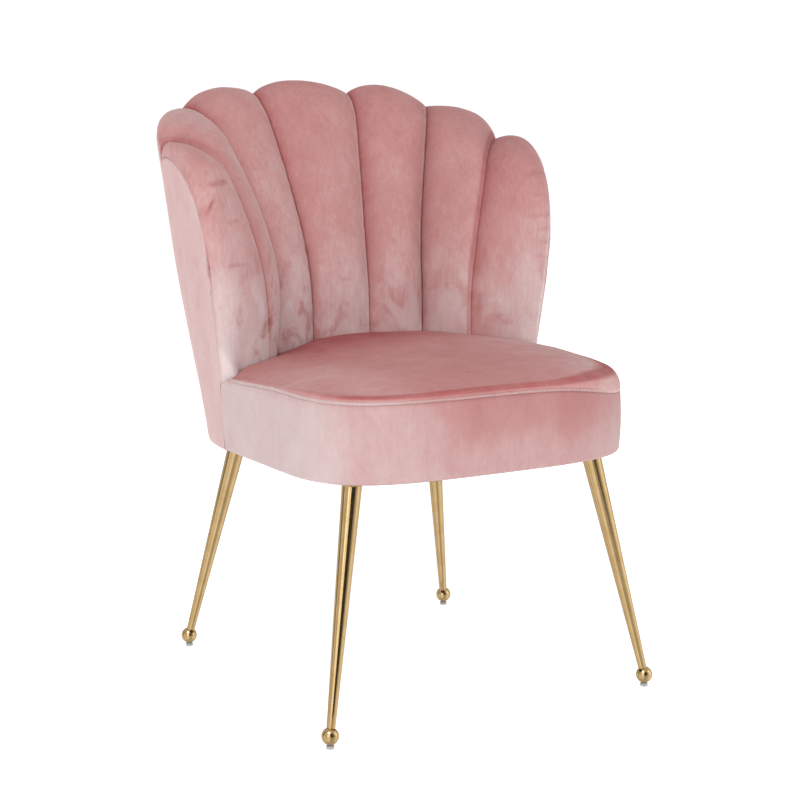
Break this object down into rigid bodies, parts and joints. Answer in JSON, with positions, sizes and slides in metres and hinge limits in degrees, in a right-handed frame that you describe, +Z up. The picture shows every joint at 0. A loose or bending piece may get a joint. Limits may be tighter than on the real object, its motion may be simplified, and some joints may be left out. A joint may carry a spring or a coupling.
{
  "type": "upholstered armchair",
  "caption": "Velvet accent chair with a channelled shell back that curves round a padded seat, on splayed tapered gold metal legs with ball feet.",
  "frame": {"origin": "centre of the bounding box on the floor, midway across the width and the depth", "axes": "+Z up, the seat faces -Y, +X is to the right when facing the chair's front"},
  "size_m": [0.554, 0.5583, 0.7981],
  "materials": {
    "velvet": "short-pile dusty rose velvet",
    "foam": null,
    "plywood": "birch plywood",
    "hardboard": "thin hardboard",
    "webbing": "woven elastic webbing",
    "dust_cloth": "black non-woven dust cloth",
    "gold": "polished gold-coloured plating on steel; mass counted as brass",
    "zinc": "zinc-plated steel",
    "glide_plastic": "grey moulded plastic"
  },
  "bodies": {
    "chair": {"channel_pad_1": "foam", "channel_pad_2": "foam", "channel_pad_3": "foam", "channel_pad_4": "foam", "channel_pad_5": "foam", "channel_pad_6": "foam", "channel_pad_7": "foam", "seat_foam": "foam", "inner_back_cover": "velvet", "outer_back_cover": "velvet", "seat_side_band": "velvet", "seat_top_cover": "velvet", "inner_back_board": "hardboard", "outer_back_board": "hardboard", "arm_post_left": "plywood", "arm_post_right": "plywood", "back_band_lower": "plywood", "back_band_upper": "plywood", "back_rib_left_1": "plywood", "back_rib_left_2": "plywood", "back_rib_right_1": "plywood", "back_rib_right_2": "plywood", "seat_rail_front": "plywood", "seat_rail_left": "plywood", "seat_rail_rear": "plywood", "seat_rail_right": "plywood", "corner_block_front_left": "plywood", "corner_block_front_right": "plywood", "corner_block_rear_left": "plywood", "corner_block_rear_right": "plywood", "webbing_cross_1": "webbing", "webbing_cross_2": "webbing", "webbing_long_1": "webbing", "webbing_long_2": "webbing", "webbing_long_3": "webbing", "dust_cover": "dust_cloth", "leg_front_left": "gold", "leg_front_right": "gold", "leg_rear_left": "gold", "leg_rear_right": "gold", "ball_foot_front_left": "gold", "ball_foot_front_right": "gold", "ball_foot_rear_left": "gold", "ball_foot_rear_right": "gold", "leg_screw_front_left_1": "zinc", "leg_screw_front_left_2": "zinc", "leg_screw_front_left_3": "zinc", "leg_screw_front_right_1": "zinc", "leg_screw_front_right_2": "zinc", "leg_screw_front_right_3": "zinc", "leg_screw_rear_left_1": "zinc", "leg_screw_rear_left_2": "zinc", "leg_screw_rear_left_3": "zinc", "leg_screw_rear_right_1": "zinc", "leg_screw_rear_right_2": "zinc", "leg_screw_rear_right_3": "zinc"},
    "glide_front_left": {"glide_front_left": "glide_plastic"},
    "glide_front_right": {"glide_front_right": "glide_plastic"},
    "glide_rear_left": {"glide_rear_left": "glide_plastic"},
    "glide_rear_right": {"glide_rear_right": "glide_plastic"}
  },
  "joints": [
    {"name": "glide_front_left_screw", "type": "slide", "parent": "chair", "child": "glide_front_left", "axis": [0, 0, 1], "range_m": [-0.005, 0]},
    {"name": "glide_front_right_screw", "type": "slide", "parent": "chair", "child": "glide_front_right", "axis": [0, 0, 1], "range_m": [-0.005, 0]},
    {"name": "glide_rear_left_screw", "type": "slide", "parent": "chair", "child": "glide_rear_left", "axis": [0, 0, 1], "range_m": [-0.005, 0]},
    {"name": "glide_rear_right_screw", "type": "slide", "parent": "chair", "child": "glide_rear_right", "axis": [0, 0, 1], "range_m": [-0.005, 0]}
  ]
}
